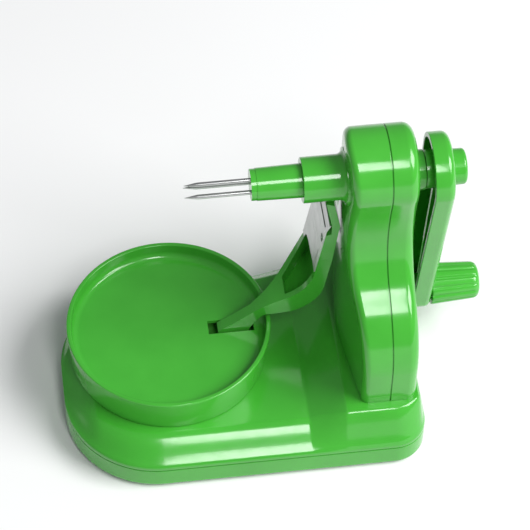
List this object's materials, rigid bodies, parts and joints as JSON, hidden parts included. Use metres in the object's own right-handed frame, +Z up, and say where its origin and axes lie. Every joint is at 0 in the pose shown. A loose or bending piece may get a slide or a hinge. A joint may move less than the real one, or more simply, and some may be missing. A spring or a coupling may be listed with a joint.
{
  "type": "apple peeler",
  "caption": "Hand-cranked fruit peeler: a crank turns a fork and, through gears and a worm, swings a bladed arm on a round tray about it.",
  "frame": {"origin": "centre of the whole part's bounding box, at the bottom of the feet", "axes": "+X along the spindle from the tray towards the crank, +Y away from the operator, +Z up"},
  "size_m": [0.209, 0.119, 0.1692],
  "materials": {
    "green_abs": "moulded gloss",
    "light_green_abs": "moulded gloss",
    "foot_rubber": "matt",
    "gear_acetal": "moulded, natural",
    "plated_steel": "zinc plated",
    "stainless": "ground"
  },
  "bodies": {
    "base": {"base_shell": "green_abs", "base_cover": "green_abs", "feet": "foot_rubber", "base_screws": "plated_steel", "mount_screws": "plated_steel", "shaft_bushes": "gear_acetal", "tower_left_shell": "green_abs", "tower_right_shell": "green_abs", "tower_screws": "plated_steel", "gear_axles": "plated_steel"},
    "spindle": {"spindle_shaft": "green_abs", "fork_hub": "green_abs", "fork_prongs": "stainless", "spindle_gear": "gear_acetal", "crank_arm": "green_abs", "crank_screw": "plated_steel", "crank_cap": "green_abs", "knob_pin": "plated_steel"},
    "knob": {"crank_knob": "green_abs", "knob_cap": "green_abs"},
    "neck_idler": {"neck_gear": "gear_acetal"},
    "middle_idler": {"middle_gear": "gear_acetal"},
    "large_idler": {"large_gear": "gear_acetal"},
    "drive_shaft": {"base_shaft": "plated_steel", "shaft_gear": "gear_acetal", "worm": "gear_acetal"},
    "turntable": {"tray": "green_abs", "worm_wheel": "gear_acetal", "wheel_screws": "plated_steel", "arm_bracket": "light_green_abs", "bracket_screws": "plated_steel", "arm_pin": "plated_steel", "arm_spring": "plated_steel"},
    "arm": {"peeling_arm": "green_abs", "blade_holder": "green_abs", "blade": "stainless", "holder_screws": "plated_steel"}
  },
  "joints": [
    {"name": "crank_spin", "type": "hinge", "parent": "base", "child": "spindle", "pos_m": [0.04475, 0.005, 0.145], "axis": [1, 0, 0], "range_deg": [0, 4950]},
    {"name": "knob_spin", "type": "hinge", "parent": "spindle", "child": "knob", "pos_m": [0.08875, 0.02133, 0.03571], "axis": [1, 0, 0], "continuous": true},
    {"name": "neck_gear_spin", "type": "hinge", "parent": "base", "child": "neck_idler", "pos_m": [0.04475, 0.005, 0.1225], "axis": [1, 0, 0], "range_deg": [-5658.14, 0]},
    {"name": "middle_gear_spin", "type": "hinge", "parent": "base", "child": "middle_idler", "pos_m": [0.04475, 0.005, 0.0955], "axis": [1, 0, 0], "range_deg": [0, 3600]},
    {"name": "large_gear_spin", "type": "hinge", "parent": "base", "child": "large_idler", "pos_m": [0.04475, -0.00284, 0.04662], "axis": [1, 0, 0], "range_deg": [-1800, 0]},
    {"name": "drive_shaft_spin", "type": "hinge", "parent": "base", "child": "drive_shaft", "pos_m": [0.04475, -0.0275, 0.0145], "axis": [1, 0, 0], "range_deg": [0, 7920]},
    {"name": "turntable_spin", "type": "hinge", "parent": "base", "child": "turntable", "pos_m": [-0.05125, 0.005, 0.03], "axis": [0, 0, 1], "range_deg": [0, 180.01]},
    {"name": "arm_tilt", "type": "hinge", "parent": "turntable", "child": "arm", "pos_m": [-0.01425, 0.005, 0.0315], "axis": [0, -1, 0], "range_deg": [0, 30]}
  ],
  "couplings": [
    {"joint": "neck_gear_spin", "follows": "crank_spin", "ratio": -1.1429},
    {"joint": "middle_gear_spin", "follows": "crank_spin", "ratio": 0.72727},
    {"joint": "large_gear_spin", "follows": "crank_spin", "ratio": -0.36364},
    {"joint": "drive_shaft_spin", "follows": "crank_spin", "ratio": 1.6},
    {"joint": "turntable_spin", "follows": "crank_spin", "ratio": 0.036364}
  ]
}
